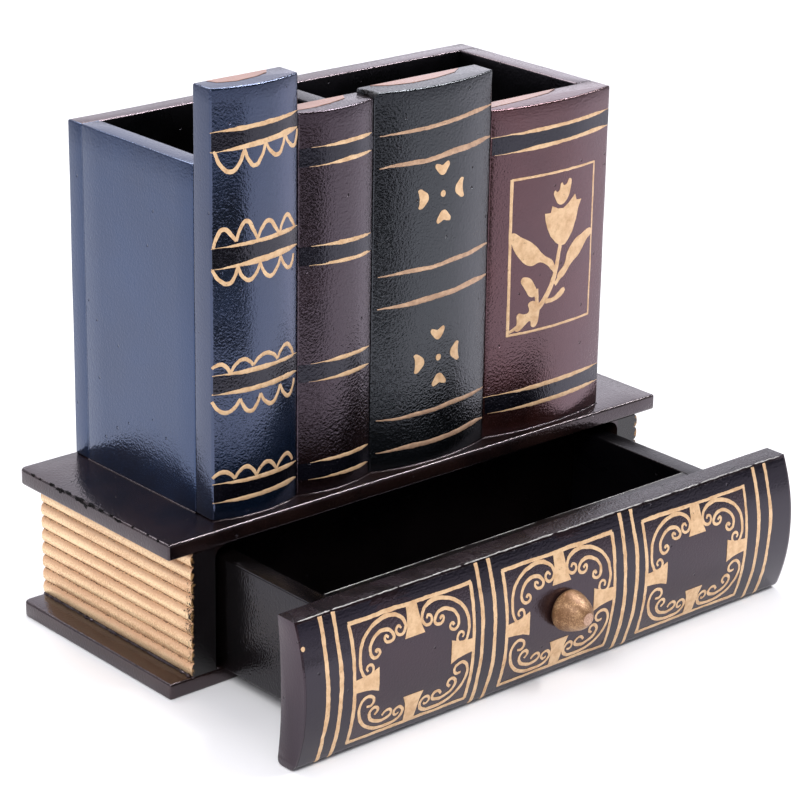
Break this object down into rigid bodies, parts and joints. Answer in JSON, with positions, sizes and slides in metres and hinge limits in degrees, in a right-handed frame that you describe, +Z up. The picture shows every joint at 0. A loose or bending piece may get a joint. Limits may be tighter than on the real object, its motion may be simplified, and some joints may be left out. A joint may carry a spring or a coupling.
{
  "type": "pen stand with drawer",
  "caption": "Wooden pen stand shaped as upright books on a large lying book, with a divided open box behind the spines and a drawer with a round knob in the base.",
  "frame": {"origin": "centre of the underside of the bottom board, where the stand rests on a desk", "axes": "+X along the long side to the right seen from the front, +Y from the drawer's face to the back, +Z up"},
  "size_m": [0.24, 0.1792, 0.2165],
  "materials": {
    "cover_board": "dark brown varnish, gloss",
    "page_edge": "pale gold paint over round reeds, gloss",
    "nail": "plain steel",
    "putty": "wood filler under dark varnish",
    "blue_book": "navy blue varnish, gloss",
    "maroon_book": "maroon-brown varnish, gloss",
    "green_book": "green-black varnish, gloss",
    "brown_book": "brown varnish, gloss",
    "box_inside": "black paint, semi-gloss",
    "drawer_box": "black paint, semi-gloss",
    "drawer_face": "purple-maroon varnish with gold paint, gloss",
    "knob": "antique gold paint, gloss"
  },
  "bodies": {
    "stand": {"bottom_board": "cover_board", "top_board": "cover_board", "page_block_left": "page_edge", "page_block_right": "page_edge", "base_back_board": "cover_board", "base_brads": "nail", "box_brads": "nail", "corner_putty_left": "putty", "corner_putty_right": "putty", "box_left_panel": "blue_book", "spine_blue": "blue_book", "box_divider": "box_inside", "box_right_panel": "maroon_book", "box_back_panel": "maroon_book", "spine_maroon": "maroon_book", "spine_green": "green_book", "spine_brown": "brown_book"},
    "drawer": {"drawer_left_side": "drawer_box", "drawer_right_side": "drawer_box", "drawer_front_wall": "drawer_box", "drawer_back_wall": "drawer_box", "drawer_bottom": "drawer_box", "drawer_brads": "nail", "drawer_face": "drawer_face", "knob": "knob", "knob_screw": "nail"}
  },
  "joints": [
    {"name": "drawer_slide", "type": "slide", "parent": "stand", "child": "drawer", "axis": [0, -1, 0], "range_m": [-0.06, 0.014]}
  ]
}
